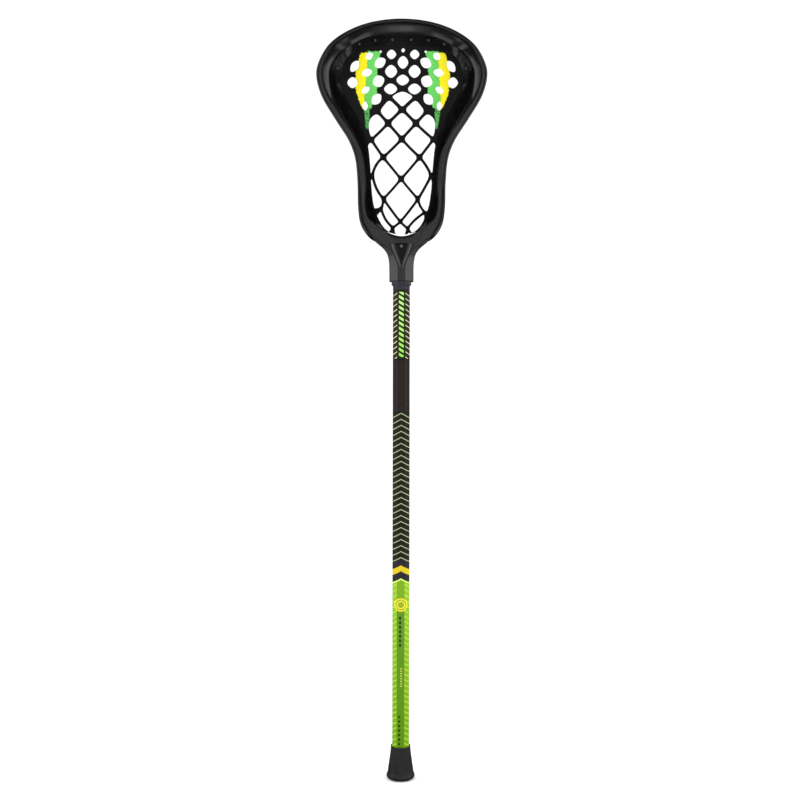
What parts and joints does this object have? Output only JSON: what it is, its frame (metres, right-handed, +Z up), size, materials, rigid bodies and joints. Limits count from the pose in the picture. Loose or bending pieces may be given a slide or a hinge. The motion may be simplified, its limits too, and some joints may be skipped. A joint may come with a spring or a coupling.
{
  "type": "lacrosse stick",
  "caption": "Youth lacrosse stick with a flared head, lattice pocket striped yellow and green, octagonal metal shaft and flared rubber butt cap.",
  "frame": {"origin": "centre of the butt cap's flat end, on the shaft's axis", "axes": "+Z up the shaft towards the head's scoop; -Y the open face of the head, +Y the way the pocket hangs; +X to the right seen from the open face"},
  "size_m": [0.2122, 0.0885, 0.94],
  "materials": {
    "head_plastic": "glossy moulded nylon, black",
    "net_weave": "coated woven lattice, black with a bright yellow and a light green stripe down each side",
    "pad_foam": "matte closed-cell foam, off-white",
    "sleeve_plastic": "satin moulded plastic, black",
    "shaft_paint": "semi-gloss print on alloy: dark upper half with pale chevrons, lime green lower half",
    "cap_rubber": "matte moulded rubber, black",
    "screw_steel": "blackened steel",
    "pin_plastic": "satin moulded plastic, dark grey"
  },
  "bodies": {
    "root": {"head_frame": "head_plastic", "pocket_net": "net_weave", "ball_stop_pad": "pad_foam", "socket_sleeve": "sleeve_plastic", "shaft": "shaft_paint", "butt_cap": "cap_rubber", "head_screw": "screw_steel", "scoop_pin_right_1": "pin_plastic", "scoop_pin_left_1": "pin_plastic", "scoop_pin_right_2": "pin_plastic", "scoop_pin_left_2": "pin_plastic", "scoop_pin_right_3": "pin_plastic", "scoop_pin_left_3": "pin_plastic", "scoop_pin_right_4": "pin_plastic", "scoop_pin_left_4": "pin_plastic", "scoop_pin_right_5": "pin_plastic", "scoop_pin_left_5": "pin_plastic", "side_pin_right_1": "pin_plastic", "side_pin_left_1": "pin_plastic", "side_pin_right_2": "pin_plastic", "side_pin_left_2": "pin_plastic", "side_pin_right_3": "pin_plastic", "side_pin_left_3": "pin_plastic", "side_pin_right_4": "pin_plastic", "side_pin_left_4": "pin_plastic", "side_pin_right_5": "pin_plastic", "side_pin_left_5": "pin_plastic", "leg_pin_right_1": "pin_plastic", "leg_pin_left_1": "pin_plastic", "leg_pin_right_2": "pin_plastic", "leg_pin_left_2": "pin_plastic"}
  },
  "joints": []
}
